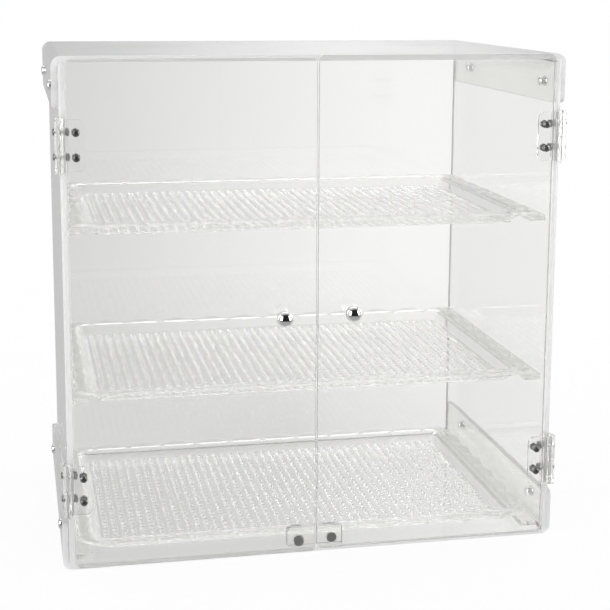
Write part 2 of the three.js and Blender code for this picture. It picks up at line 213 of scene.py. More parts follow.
def bent_sheet(node, hole_rise, flip):
    """A bent panel that fills the box of its CAD node, drilled at each binding post."""
    low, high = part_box(node)
    half_width, rise = (high.x - low.x) / 2, high.z - low.z
    flat_width = 2 * (half_width - BEND_RADIUS + BEND_RADIUS * math.pi / 2 + rise - BEND_RADIUS)
    reach = flat_width / 2 - rise + hole_rise
    middle_y = (low.y + high.y) / 2
    holes = [(s * reach, y - middle_y, POST_HOLE) for s in (-1, 1) for y in post_depths]
    bm = new_sheet(flat_width, high.y - low.y, SHEET, FLANGE_CORNER, holes)
    saw_edges(bm, 0.5 * MM)
    bend_flanges(bm, half_width)
    if flip:
        bmesh.ops.rotate(bm, verts=bm.verts, cent=(0, 0, 0), matrix=Matrix.Rotation(math.pi, 3, "Y"))
        bmesh.ops.translate(bm, verts=bm.verts, vec=(0, 0, high.z))
    bmesh.ops.translate(bm, verts=bm.verts, vec=(0, middle_y, 0))
    return bm


def centre_of(node):
    """The middle of a CAD node's box."""
    low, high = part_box(node)
    return (low + high) / 2


post_depths = [centre_of(f"post_left_bottom_{end}").y for end in ("front", "back")]
low_posts = centre_of("post_left_bottom_front").z
high_posts = centre_of("post_left_top_front").z

bottom = new_piece("bottom_sheet", bent_sheet("bottom_panel", low_posts, False), acrylic, sawn_edge)
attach(bottom, "case")
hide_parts("bottom_panel")

# --- Side panels -------------------------------------------------------------------------------
# Two straight acrylic panels that stand inside the flanges. Their outer long edges are rounded over
# to sit in the bends, and each is drilled for four binding posts and four hinge screws.
SCREW_HOLE = 2.3 * MM
NOSE_RADIUS = 3.1 * MM
STAND_YZ = Matrix(((0, 0, 1), (1, 0, 0), (0, 1, 0)))  # a flat sheet's width along Y, its height up
hinges = [(side, place) for side in ("left", "right") for place in ("bottom", "top")]

for side in ("left", "right"):
    low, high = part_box(f"{side}_side_panel")
    middle = (low + high) / 2
    drilled = [(y, z, POST_HOLE) for y in post_depths for z in (low_posts, high_posts)]
    for place in ("bottom", "top"):
        for row in ("lower", "upper"):
            spot = centre_of(f"{side}_{place}_hinge_side_screw_{row}")
            drilled.append((spot.y, spot.z, SCREW_HOLE))
    holes = [(y - middle.y, z - middle.z, radius) for y, z, radius in drilled]
    bm = new_sheet(high.y - low.y, high.z - low.z, SHEET, 0, holes)
    outside = SHEET if side == "right" else 0.0
    noses = [e for e in bm.edges
             if all(abs(v.co.z - outside) < 1e-6 and abs(abs(v.co.y) - (high.z - low.z) / 2) < 1e-6
                    for v in e.verts)]
    bmesh.ops.bevel(bm, geom=noses, offset=NOSE_RADIUS, offset_type="OFFSET", segments=8, profile=0.5,
                    affect="EDGES", material=-1)
    saw_edges(bm, 0.4 * MM)
    bmesh.ops.transform(bm, matrix=STAND_YZ.to_4x4(), verts=bm.verts)
    bmesh.ops.translate(bm, verts=bm.verts, vec=(low.x, middle.y, middle.z))
    panel = new_piece(f"{side}_side_sheet", bm, acrylic, sawn_edge)
    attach(panel, "case")
    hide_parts(f"{side}_side_panel")

# --- Back panel --------------------------------------------------------------------------------
# A plain rectangle of the same acrylic, solvent-bonded between the side panels.
STAND_XZ = Matrix.Rotation(math.pi / 2, 3, "X")  # a flat sheet's height up, its thickness towards -Y

low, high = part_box("back_panel")
bm = new_sheet(high.x - low.x, high.z - low.z, SHEET)
saw_edges(bm, 0.3 * MM)
bmesh.ops.transform(bm, matrix=STAND_XZ.to_4x4(), verts=bm.verts)
bmesh.ops.translate(bm, verts=bm.verts, vec=(0, high.y, (low.z + high.z) / 2))
back = new_piece("back_sheet", bm, acrylic, sawn_edge)
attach(back, "case")
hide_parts("back_panel")

# --- Top panel ---------------------------------------------------------------------------------
# The twin of the bottom panel, with its flanges bent down over the side panels.
post_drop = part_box("top_panel")[1].z - high_posts
top = new_piece("top_sheet", bent_sheet("top_panel", post_drop, True), acrylic, sawn_edge)
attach(top, "case")
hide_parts("top_panel")

# --- Rails -------------------------------------------------------------------------------------
# Narrow acrylic strips bonded along the side panels: two pairs of ledges that hold the upper trays
# by their rims, and a pair on the bottom panel that keeps the lowest tray between them.
for place in ("bottom", "middle", "top"):
    for side in ("left", "right"):
        low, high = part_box(f"{place}_rail_{side}")
        bm = new_sheet(high.x - low.x, high.y - low.y, high.z - low.z)
        ease_edges(bm, 0.4 * MM)
        bmesh.ops.translate(bm, verts=bm.verts, vec=((low.x + high.x) / 2, (low.y + high.y) / 2, low.z))
        rail = new_piece(f"{place}_{side}_strip", bm, acrylic)
        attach(rail, "case")
        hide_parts(f"{place}_rail_{side}")

# --- Binding posts -----------------------------------------------------------------------------
# Eight bright-chromed steel binding posts clamp the flanges to the side panels. Each is turned, with a
# low domed head at both ends, and the outer head is slotted for a screwdriver.
HEAD_RADIUS = 5.3 * MM
HEAD_DEPTH = 2.2 * MM
INNER_HEAD_RADIUS = 4.8 * MM
INNER_HEAD_DEPTH = 1.7 * MM
SHANK_RADIUS = 2.4 * MM

# Chromed steel: bright and hard, with the faint swirl that polishing leaves in the plating.
chrome, tree, place, surface = new_material("chrome_plated_steel")
surface.inputs["Metallic"].default_value = 1.0
mottle = add_node(tree, "ShaderNodeTexNoise", links={"Vector": place},
                  values={"Scale": 600.0, "Detail": 2.0}).outputs["Fac"]
shine = add_node(tree, "ShaderNodeMapRange", links={"Value": mottle},
                 values={"To Min": 0.02, "To Max": 0.07}).outputs["Result"]
tree.links.new(shine, surface.inputs["Roughness"])
plating = add_node(tree, "ShaderNodeMix", data_type="RGBA", links={0: mottle},
                   values={6: linear("#e6e7e9"), 7: linear("#f1f1f2")}).outputs[2]
tree.links.new(plating, surface.inputs["Base Color"])


def turned(profile, segments=32):
    """A closed turned shape about Z from (radius, height) pairs whose first and last radii are 0."""
    bm = bmesh.new()
    points = [bm.verts.new((radius, 0, height)) for radius, height in profile]
    edges = [bm.edges.new(pair) for pair in zip(points, points[1:])]
    bmesh.ops.spin(bm, geom=points + edges, cent=(0, 0, 0), axis=(0, 0, 1), angle=math.tau,
                   steps=segments, use_merge=True, use_duplicate=False)
    bmesh.ops.remove_doubles(bm, verts=bm.verts, dist=1e-7)
    bmesh.ops.recalc_face_normals(bm, faces=bm.faces)
    return bm


def dome(radius, rise, height, steps=5):
    """Points of a low dome from its rim to its crown."""
    return [(radius * math.cos(math.pi / 2 * k / steps) if k < steps else 0,
             height + rise * math.sin(math.pi / 2 * k / steps)) for k in range(steps + 1)]


def sink_slot(bm, height, width_share, depth):
    """Sinks a slot into the flat crown that lies at this height."""
    crown = [f for f in bm.faces if all(abs(v.co.z - height) < 1e-7 for v in f.verts)]
    crown = bmesh.ops.dissolve_faces(bm, faces=crown)["region"]
    bmesh.ops.inset_region(bm, faces=crown, thickness=0.35 * MM)
    verts = list({v for f in crown for v in f.verts})
    bmesh.ops.scale(bm, vec=(1, width_share, 1), verts=verts)
    walls = bmesh.ops.extrude_face_region(bm, geom=crown)["geom"]
    bmesh.ops.delete(bm, geom=crown, context="FACES_ONLY")
    bmesh.ops.translate(bm, verts=[g for g in walls if isinstance(g, bmesh.types.BMVert)],
                        vec=(0, 0, -depth))


for side in ("left", "right"):
    for place in ("bottom", "top"):
        for end in ("front", "back"):
            node = f"post_{side}_{place}_{end}"
            low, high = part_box(node)
            length = high.x - low.x
            inner_head = reversed(dome(INNER_HEAD_RADIUS, INNER_HEAD_DEPTH, 0))
            profile = [(0, 0)] + [(r, INNER_HEAD_DEPTH - h) for r, h in inner_head][1:]
            profile += [(SHANK_RADIUS, INNER_HEAD_DEPTH), (SHANK_RADIUS, length - HEAD_DEPTH)]
            profile += [(HEAD_RADIUS, length - HEAD_DEPTH), (HEAD_RADIUS, length - 1.9 * MM),
                        (4.8 * MM, length - 0.9 * MM), (4.2 * MM, length - 0.35 * MM), (3.4 * MM, length),
                        (0, length)]
            bm = turned(profile)
            sink_slot(bm, length, 0.2, 0.9 * MM)
            bmesh.ops.recalc_face_normals(bm, faces=bm.faces)
            turn = Matrix.Rotation(math.pi / 2 if side == "right" else -math.pi / 2, 3, "Y")
            bmesh.ops.rotate(bm, verts=bm.verts, cent=(0, 0, 0), matrix=turn)
            start = low.x if side == "right" else high.x
            bmesh.ops.translate(bm, verts=bm.verts, vec=(start, (low.y + high.y) / 2, (low.z + high.z) / 2))
            post = new_piece(f"binding_{node}", bm, chrome, smooth=35)
            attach(post, "case")
            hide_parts(node)

# --- Trays -------------------------------------------------------------------------------------
# Three shallow polycarbonate trays, injection moulded in one shot: a floor studded with low round
# pips, smooth leaning walls, and a wide rim of crowned cells that meet in creases.
PIP_PITCH = 9.25 * MM
PIPS = (44, 27)
PIP_RADIUS = 2.9 * MM
PIP_RISE = 1.5 * MM
RIM_WIDTH = 15 * MM
TRAY_CORNER = 12.5 * MM
CORNER_LEAD = 2.7 * MM  # straight part of the corner cell on each side of the turn
TRAY_WALL = 1.8 * MM
CELL_PITCH = 39.6 * MM
CELL_STEPS = 8
CROWN = 3.6 * MM
SCALLOP = 3 * MM

# Moulded polycarbonate: IOR 1.585, clear but a touch softer than cast sheet, with faint flow marks from
# the mould.
polycarbonate, tree, place, surface = new_material("moulded_polycarbonate")
surface.inputs["IOR"].default_value = 1.585
surface.inputs["Transmission Weight"].default_value = 1.0
streaks = add_node(tree, "ShaderNodeTexNoise", links={"Vector": place},
                   values={"Scale": 12.0, "Detail": 2.0}).outputs["Fac"]
cast = add_node(tree, "ShaderNodeMix", data_type="RGBA", links={0: streaks},
                values={6: linear("#f9f9f8"), 7: linear("#ffffff")}).outputs[2]
tree.links.new(cast, surface.inputs["Base Color"])
flow_space = add_node(tree, "ShaderNodeMapping", links={"Vector": place},
                      values={"Scale": (60, 60, 200)}).outputs["Vector"]
flow = add_node(tree, "ShaderNodeTexNoise", links={"Vector": flow_space},
                values={"Scale": 1.0, "Detail": 3.0, "Distortion": 1.5}).outputs["Fac"]
haze = add_node(tree, "ShaderNodeMapRange", links={"Value": flow},
                values={"From Min": 0.3, "From Max": 0.8, "To Min": 0.01, "To Max": 0.05}).outputs["Result"]
tree.links.new(haze, surface.inputs["Roughness"])
flow_bump = add_node(tree, "ShaderNodeBump", links={"Height": flow},
                     values={"Strength": 0.3, "Distance": 0.00015}).outputs["Normal"]
tree.links.new(flow_bump, surface.inputs["Normal"])


def repeated(mesh, count, step):
    """The same mesh set out `count` times along a step, centred and welded."""
    bm = bmesh.new()
    for k in range(count):
        start = len(bm.verts)
        bm.from_mesh(mesh)
        bm.verts.ensure_lookup_table()
        bmesh.ops.translate(bm, verts=bm.verts[start:], vec=Vector(step) * (k - (count - 1) / 2))
    bmesh.ops.remove_doubles(bm, verts=bm.verts, dist=1e-6)
    bm.to_mesh(mesh)
    bm.free()
    return mesh


def pip_floor():
    """The studded part of the floor at height 0: one pip cell, repeated both ways."""
    cell = bmesh.new()
    bmesh.ops.create_circle(cell, cap_ends=True, cap_tris=True, segments=8, radius=PIP_PITCH / 2)
    corners = [v for v in cell.verts if min(abs(v.co.x), abs(v.co.y)) > PIP_PITCH / 4]
    bmesh.ops.scale(cell, vec=(math.sqrt(2), math.sqrt(2), 1), verts=corners)
    middle = min(cell.verts, key=lambda v: v.co.length)
    bmesh.ops.bevel(cell, geom=[middle], offset=PIP_RADIUS, offset_type="OFFSET", segments=1,
                    profile=0.5, affect="VERTICES", material=-1)
    crown = min(cell.faces, key=lambda f: f.calc_center_median().length)
    for inward, rise in ((0.16, 0.42), (0.2, 0.28), (0.24, 0.2)):
        bmesh.ops.inset_region(cell, faces=[crown], thickness=PIP_RADIUS * inward, use_even_offset=True)
        bmesh.ops.translate(cell, verts=crown.verts[:], vec=(0, 0, PIP_RISE * rise))
    summit = bmesh.ops.poke(cell, faces=[crown])["verts"]
    bmesh.ops.translate(cell, verts=summit, vec=(0, 0, PIP_RISE * 0.1))
    mesh = bpy.data.meshes.new("pip_floor")
    cell.to_mesh(mesh)
    cell.free()
    repeated(mesh, PIPS[0], (PIP_PITCH, 0, 0))
    return repeated(mesh, PIPS[1], (0, PIP_PITCH, 0))


pips = pip_floor()


def rim_line(bm, half_length, half_width, corner):
    """The tray's inner outline as a loop whose points carry their way out and their cell's bulge."""
    flat = bmesh.new()
    bmesh.ops.create_grid(flat, x_segments=1, y_segments=1, size=1)
    bmesh.ops.scale(flat, vec=(half_length, half_width, 1), verts=flat.verts)
    bmesh.ops.bevel(flat, geom=flat.verts[:], offset=corner, offset_type="OFFSET", segments=10,
                    profile=0.5, affect="VERTICES", material=-1)
    bmesh.ops.delete(flat, geom=flat.faces[:], context="FACES_ONLY")
    reaches = []
    for axis, half in ((0, half_length), (1, half_width)):
        cells = int((half - corner) * 2 / CELL_PITCH)
        cells -= cells % 2
        reach = half - (corner + CORNER_LEAD)
        reaches.append((cells, reach))
        for k in range(-cells * CELL_STEPS // 2, cells * CELL_STEPS // 2 + 1):
            at = Vector((0, 0, 0))
            at[axis] = reach * 2 * k / (cells * CELL_STEPS)
            normal = Vector((0, 0, 0))
            normal[axis] = 1
            bmesh.ops.bisect_plane(flat, geom=flat.verts[:] + flat.edges[:], dist=1e-7,
                                   plane_co=at, plane_no=normal)
    start = bm.verts.layers.float_vector.new("start")
    out = bm.verts.layers.float_vector.new("out")
    bulge = bm.verts.layers.float.new("bulge")
    turn_length = CORNER_LEAD * 2 + corner * math.pi / 2
    copies = {}
    for vert in flat.verts:
        x, y = vert.co.x, vert.co.y
        beyond = Vector((max(abs(x) - (half_length - corner), 0), max(abs(y) - (half_width - corner), 0)))
        way = Vector((math.copysign(beyond.x, x), math.copysign(beyond.y, y), 0)).normalized()
        if min(beyond) > 1e-6:
            share = (CORNER_LEAD + corner * math.atan2(beyond.y, beyond.x)) / turn_length
        else:
            axis = 0 if abs(way.y) > 0.5 else 1
            cells, reach = reaches[axis]
            share = (abs(vert.co[axis]) / (2 * reach) * cells + (cells % 2) / 2) % 1
            if abs(vert.co[axis]) > reach - 1e-6:
                share = max(0.0, (abs(vert.co[axis]) - reach) / turn_length)
        made = bm.verts.new((x, y, 0))
        made[start] = (x, y, 0)
        made[out] = way
        made[bulge] = max(0.0, math.sin(math.pi * share)) ** 0.75
        copies[vert] = made
    edges = [bm.edges.new([copies[v] for v in e.verts]) for e in flat.edges]
    flat.free()
    return edges, (start, out, bulge)


def new_tray(low, high):
    """One tray that fills this box: pip floor, wall and rim in one closed skin."""
    bm = bmesh.new()
    base, top_z = low.z, high.z
    floor_z = base + TRAY_WALL
    half_length = (high.x - low.x) / 2 - RIM_WIDTH - TRAY_WALL
    half_width = (high.y - low.y) / 2 - RIM_WIDTH - TRAY_WALL
    # Each ring of the skin: its way out from the inner top edge, its height, and how far the cells shape it
    profile = [(-9.4, floor_z, 0), (-8.4, floor_z + 0.2 * MM, 0), (-7.6, floor_z + 0.9 * MM, 0),
               (-7.0, floor_z + 1.9 * MM, 0), (-6.4, floor_z + 2.7 * MM, 0), (-1.7, top_z - 2.4 * MM, 0),
               (-1.1, top_z - 1.6 * MM, 0), (-0.6, top_z - 0.6 * MM, 0),
               (0.2, top_z - 0.1 * MM, 0), (1.2, top_z, 0), (4.5, top_z, 0.12), (8.5, top_z, 0.42),
               (12.0, top_z, 0.78), (15.2, top_z - 0.15 * MM, 1), (16.3, top_z - 0.45 * MM, 1),
               (16.8, top_z - 1.0 * MM, 1), (16.3, top_z - 1.6 * MM, 1), (15.2, top_z - 1.9 * MM, 1),
               (12.0, top_z - 2 * MM, 0.78), (8.5, top_z - 2 * MM, 0.42), (4.5, top_z - 2 * MM, 0.12),
               (2.6, top_z - 2.3 * MM, 0), (1.6, top_z - 3.0 * MM, 0), (1.0, top_z - 3.8 * MM, 0),
               (-4.8, base + 2.6 * MM, 0), (-5.4, base + 1.8 * MM, 0), (-6.2, base + 0.6 * MM, 0),
               (-7.2, base, 0), (-8.0, base, 0)]
    bm.from_mesh(pips)
    bmesh.ops.translate(bm, verts=bm.verts, vec=(0, 0, floor_z))
    field = [e for e in bm.edges if len(e.link_faces) == 1]
    loop, (start, out, bulge) = rim_line(bm, half_length, half_width, TRAY_CORNER)
    first = loop
    for number, (reach, height, shape) in enumerate(profile):
        if number:
            grown = bmesh.ops.extrude_edge_only(bm, edges=loop)["geom"]
            loop = [g for g in grown if isinstance(g, bmesh.types.BMEdge)
                    and all(v in grown for v in g.verts)]
        for vert in {v for e in loop for v in e.verts}:
            drop = 1 - vert[bulge]
            offset = reach * MM - (SCALLOP * drop if shape == 1 else 0)
            vert.co = Vector(vert[start]) + Vector(vert[out]) * offset
            vert.co.z = height - CROWN * drop * shape
    bmesh.ops.triangle_fill(bm, edges=field + first, use_beauty=True, normal=(0, 0, 1))
    bmesh.ops.triangle_fill(bm, edges=loop, use_beauty=True, normal=(0, 0, -1))
    bmesh.ops.recalc_face_normals(bm, faces=bm.faces)
    return bm


for place in ("bottom", "middle", "top"):
    low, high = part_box(f"{place}_tray")
    bm = new_tray(low, high)
    bmesh.ops.translate(bm, verts=bm.verts, vec=(0, (low.y + high.y) / 2, 0))
    tray = new_piece(f"{place}_moulded_tray", bm, polycarbonate, smooth=35)
    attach(tray, f"{place}_tray")
    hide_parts(f"{place}_tray")

# --- Doors -------------------------------------------------------------------------------------
# Two acrylic sheets with small rounded corners that close edge to edge in front of the panels. Each
# is drilled for its knob and for the four screws of its hinges.
for side in ("left", "right"):
    low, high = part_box(f"{side}_door")
    middle = (low + high) / 2
    drilled = [(*centre_of(f"{side}_knob").xz, SCREW_HOLE)]
    for place in ("bottom", "top"):
        for row in ("lower", "upper"):
            drilled.append((*centre_of(f"{side}_{place}_hinge_door_screw_{row}").xz, SCREW_HOLE))
    holes = [(x - middle.x, z - middle.z, radius) for x, z, radius in drilled]
    bm = new_sheet(high.x - low.x, high.z - low.z, SHEET, 5.5 * MM, holes)
    saw_edges(bm, 0.5 * MM)
    bmesh.ops.transform(bm, matrix=STAND_XZ.to_4x4(), verts=bm.verts)
    bmesh.ops.translate(bm, verts=bm.verts, vec=(middle.x, high.y, middle.z))
    door = new_piece(f"{side}_door_sheet", bm, acrylic, sawn_edge)
    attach(door, f"{side}_door")
    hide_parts(f"{side}_door")

# --- Knobs -------------------------------------------------------------------------------------
# A polished chrome ball on a short neck for each door, held by a screw from inside.
BALL_RADIUS = 8 * MM
BALL_STEPS = 28
NECK_ANGLE = 0.52  # how far from its back pole the ball stops, in radians
SCREW_HEAD = 2.2 * MM
WASHER = 0.6 * MM

for side in ("left", "right"):
    low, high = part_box(f"{side}_knob")
    length = high.y - low.y
    profile = [(0, 0)]
    for k in range(1, BALL_STEPS + 1):
        angle = -math.pi / 2 + (math.pi - NECK_ANGLE) * k / BALL_STEPS
        profile.append((BALL_RADIUS * math.cos(angle), BALL_RADIUS * (1 + math.sin(angle))))
    foot = length - (SHEET + SCREW_HEAD + WASHER)
    profile += [(4.2 * MM, foot - 0.3 * MM), (4.0 * MM, foot), (2 * MM, foot)]
    inner = length - SCREW_HEAD
    profile += [(2 * MM, inner), (4 * MM, inner), (3.8 * MM, inner + 0.9 * MM), (3 * MM, inner + 1.8 * MM),
                (1.6 * MM, length), (0, length)]
    bm = turned(profile, 48)
    bmesh.ops.rotate(bm, verts=bm.verts, cent=(0, 0, 0), matrix=Matrix.Rotation(-math.pi / 2, 3, "X"))
    bmesh.ops.translate(bm, verts=bm.verts, vec=((low.x + high.x) / 2, low.y, (low.z + high.z) / 2))
    knob = new_piece(f"{side}_ball_knob", bm, chrome, smooth=50)
    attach(knob, f"{side}_door")
    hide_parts(f"{side}_knob")

# --- Hinges ------------------------------------------------------------------------------------
# Four clear moulded butt hinges: a leaf screwed to the door, a leaf screwed to the outside of the side
# panel, two knuckles on each, and a nylon pin through them. Their edges share the acrylic's frosted finish.

# Natural nylon rod: a milky, faintly translucent white with a drawn, lengthways grain.
nylon, tree, place, surface = new_material("natural_nylon_rod")
surface.inputs["IOR"].default_value = 1.53
surface.inputs["Transmission Weight"].default_value = 0.35
grain_space = add_node(tree, "ShaderNodeMapping", links={"Vector": place},
                       values={"Scale": (3000, 3000, 120)}).outputs["Vector"]
grain = add_node(tree, "ShaderNodeTexNoise", links={"Vector": grain_space},
                 values={"Scale": 1.0, "Detail": 2.0}).outputs["Fac"]
milk = add_node(tree, "ShaderNodeMix", data_type="RGBA", links={0: grain},
                values={6: linear("#dcdcd9"), 7: linear("#f0f0ee")}).outputs[2]
tree.links.new(milk, surface.inputs["Base Color"])
drawn = add_node(tree, "ShaderNodeMapRange", links={"Value": grain},
                 values={"To Min": 0.25, "To Max": 0.4}).outputs["Result"]
tree.links.new(drawn, surface.inputs["Roughness"])


def softened(node, radius):
    """A welded copy of a CAD node with its sharp edges rounded and given the second material."""
    bm = bmesh.new()
    bm.from_mesh(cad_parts[node].data)
    bmesh.ops.remove_doubles(bm, verts=bm.verts, dist=1e-6)
    bmesh.ops.dissolve_limit(bm, angle_limit=math.radians(1), verts=bm.verts, edges=bm.edges)
    for face in ease_edges(bm, radius):
        face.material_index = 1
    return bm


for side, place in hinges:
    prefix = f"{side}_{place}_hinge"
    for leaf, body in (("door", f"{side}_door"), ("side", "case")):
        plate = new_piece(f"{prefix}_{leaf}_plate", softened(f"{prefix}_{leaf}_leaf", 0.4 * MM),
                          polycarbonate, sawn_edge)
        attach(plate, body)
        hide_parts(f"{prefix}_{leaf}_leaf")
    low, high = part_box(f"{prefix}_pin")
    rod = bmesh.new()
    bmesh.ops.create_cone(rod, cap_ends=True, segments=24, radius1=1.5 * MM, radius2=1.5 * MM,
                          depth=high.z - low.z)
    ease_edges(rod, 0.3 * MM)
    bmesh.ops.translate(rod, verts=rod.verts, vec=(low + high) / 2)
    pin = new_piece(f"{prefix}_rod", rod, nylon, smooth=35)
    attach(pin, "case")
    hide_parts(f"{prefix}_pin")

# --- Hinge screws ------------------------------------------------------------------------------
# Sixteen M4 pan-head machine screws with cross recesses, each with a hex nut behind the sheet.
# Black-oxide steel: near black and satin, with a painted highlight: a brighter grey is painted on its sharp
# outer edges, where they catch the light.
screw_steel, tree, place, surface = new_material("black_oxide_steel")
surface.inputs["Metallic"].default_value = 1.0
blotch = add_node(tree, "ShaderNodeTexNoise", links={"Vector": place},
                  values={"Scale": 900.0, "Detail": 3.0}).outputs["Fac"]
# Painted highlight: the pointiness mask lays the brighter grey #a0a09e over the oxide on sharp convex edges,
# standing in for light caught on the rims.
pointy_edges = add_node(tree, "ShaderNodeNewGeometry").outputs["Pointiness"]
painted_rim_highlight = add_node(tree, "ShaderNodeMapRange", links={"Value": pointy_edges},
                values={"From Min": 0.5, "From Max": 0.62}).outputs["Result"]
oxide = add_node(tree, "ShaderNodeMix", data_type="RGBA", links={0: blotch},
                 values={6: linear("#4c4c4c"), 7: linear("#626262")}).outputs[2]
oxide_and_painted_rim_highlight = add_node(tree, "ShaderNodeMix", data_type="RGBA", links={0: painted_rim_highlight, 6: oxide},
                values={7: linear("#a0a09e")}).outputs[2]
tree.links.new(oxide_and_painted_rim_highlight, surface.inputs["Base Color"])
satin = add_node(tree, "ShaderNodeMapRange", links={"Value": blotch},
                 values={"To Min": 0.3, "To Max": 0.5}).outputs["Result"]
tree.links.new(satin, surface.inputs["Roughness"])


def screw_with_nut(length):
    """A pan-head screw standing on its head, with a hex nut near its end."""
    crown = 2.0 * MM
    bm = turned([(0, 0), (2.0 * MM, 0), (2.7 * MM, 0.3 * MM), (3.2 * MM, 0.9 * MM), (3.4 * MM, 1.7 * MM),
                 (3.4 * MM, crown), (2 * MM, crown), (2 * MM, length - 0.4 * MM), (1.6 * MM, length),
                 (0, length)], 24)
    face = [f for f in bm.faces if all(v.co.z < 1e-7 for v in f.verts)]
    face = bmesh.ops.dissolve_faces(bm, faces=face)["region"]
    bmesh.ops.inset_region(bm, faces=face, thickness=0.15 * MM)
    for vert in face[0].verts:
        around = math.atan2(vert.co.y, vert.co.x) % (math.pi / 2)
        if abs(around - math.pi / 4) < math.pi / 4 * 0.7:
            vert.co.xy = vert.co.xy * 0.36
    pit = bmesh.ops.extrude_face_region(bm, geom=face)["geom"]
    bmesh.ops.delete(bm, geom=face, context="FACES_ONLY")
    bmesh.ops.translate(bm, verts=[g for g in pit if isinstance(g, bmesh.types.BMVert)],
                        vec=(0, 0, 1.2 * MM))
    nut = bmesh.ops.create_cone(bm, cap_ends=True, segments=6, radius1=4 * MM, radius2=4 * MM,
                                depth=3.2 * MM)["verts"]
    edges = list({e for v in nut for e in v.link_edges})
    bmesh.ops.translate(bm, verts=nut, vec=(0, 0, length - 2.2 * MM))
    bmesh.ops.bevel(bm, geom=edges, offset=0.3 * MM, offset_type="OFFSET", segments=2, profile=0.5,
                    affect="EDGES", material=-1)
    bmesh.ops.recalc_face_normals(bm, faces=bm.faces)
    return bm


for side, place in hinges:
    for leaf, body in (("door", f"{side}_door"), ("side", "case")):
        for row in ("lower", "upper"):
            node = f"{side}_{place}_hinge_{leaf}_screw_{row}"
            low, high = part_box(node)
            middle = (low + high) / 2
            if leaf == "door":
                bm = screw_with_nut(high.y - low.y)
                turn, start = Matrix.Rotation(-math.pi / 2, 3, "X"), Vector((middle.x, low.y, middle.z))
            else:
                bm = screw_with_nut(high.x - low.x)
                inward = -1 if side == "right" else 1
                turn = Matrix.Rotation(inward * math.pi / 2, 3, "Y")
                start = Vector((high.x if side == "right" else low.x, middle.y, middle.z))
            bmesh.ops.rotate(bm, verts=bm.verts, cent=(0, 0, 0), matrix=turn)
            bmesh.ops.translate(bm, verts=bm.verts, vec=start)
            screw = new_piece(f"{side}_{place}_{leaf}_fixing_{row}", bm, screw_steel, smooth=35)
            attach(screw, body)
            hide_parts(node)

# --- Magnetic catch ----------------------------------------------------------------------------
# A small acrylic block bonded inside the bottom panel's front edge. Two nickel-plated disc magnets sit
# in its pockets, and each door carries a steel strike disc that closes against one of them.

# Nickel-plated magnet: a warm, slightly soft mirror with fine plating grain.
nickel, tree, place, surface = new_material("nickel_plated_magnet")
surface.inputs["Metallic"].default_value = 1.0
speck = add_node(tree, "ShaderNodeTexNoise", links={"Vector": place},
                 values={"Scale": 1500.0, "Detail": 2.0}).outputs["Fac"]
warm = add_node(tree, "ShaderNodeMix", data_type="RGBA", links={0: speck},
                values={6: linear("#9c9a95"), 7: linear("#b9b7b1")}).outputs[2]
tree.links.new(warm, surface.inputs["Base Color"])
soft = add_node(tree, "ShaderNodeMapRange", links={"Value": speck},
                values={"To Min": 0.18, "To Max": 0.3}).outputs["Result"]
tree.links.new(soft, surface.inputs["Roughness"])

# Zinc-plated mild steel: dull grey, faced on a lathe.
strike_steel, tree, place, surface = new_material("zinc_plated_steel")
surface.inputs["Metallic"].default_value = 0.85
cloud = add_node(tree, "ShaderNodeTexNoise", links={"Vector": place},
                 values={"Scale": 700.0, "Detail": 3.0}).outputs["Fac"]
dull = add_node(tree, "ShaderNodeMix", data_type="RGBA", links={0: cloud},
                values={6: linear("#5c5c5c"), 7: linear("#7c7c7a")}).outputs[2]
tree.links.new(dull, surface.inputs["Base Color"])
faced = add_node(tree, "ShaderNodeMapRange", links={"Value": cloud},
                 values={"To Min": 0.35, "To Max": 0.5}).outputs["Result"]
tree.links.new(faced, surface.inputs["Roughness"])

block = new_piece("catch_body", softened("catch_block", 0.4 * MM), acrylic, sawn_edge)
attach(block, "case")
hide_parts("catch_block")

for side in ("left", "right"):
    for kind, body, finish, slot in (("magnet", "case", nickel, "magnet_nickel"),
                                     ("strike", f"{side}_door", strike_steel, "strike_steel")):
        low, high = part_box(f"{side}_{kind}")
        bm = bmesh.new()
        bmesh.ops.create_cone(bm, cap_ends=True, segments=40, radius1=(high.x - low.x) / 2,
                              radius2=(high.x - low.x) / 2, depth=high.y - low.y)
        ease_edges(bm, 0.35 * MM, 3)
        bmesh.ops.rotate(bm, verts=bm.verts, cent=(0, 0, 0), matrix=Matrix.Rotation(math.pi / 2, 3, "X"))
        bmesh.ops.translate(bm, verts=bm.verts, vec=(low + high) / 2)
        disc = new_piece(f"{side}_{kind}_disc", bm, finish, smooth=35)
        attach(disc, body)
        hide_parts(f"{side}_{kind}")

# --- Studio ------------------------------------------------------------------------------------
# A white floor lit from within, a white room, and three soft lamps, beside and above the case. The clear
# pieces see the room with soft shading: dimmer to the left, overhead and behind the camera.
scene = bpy.context.scene
scene.view_settings.view_transform = "Standard"
LONGEST_PATH = 100  # light runs along inside a sheet, from edge to edge, by dozens of inner reflections
scene.cycles.max_bounces = LONGEST_PATH
scene.cycles.transmission_bounces = LONGEST_PATH
scene.cycles.glossy_bounces = LONGEST_PATH

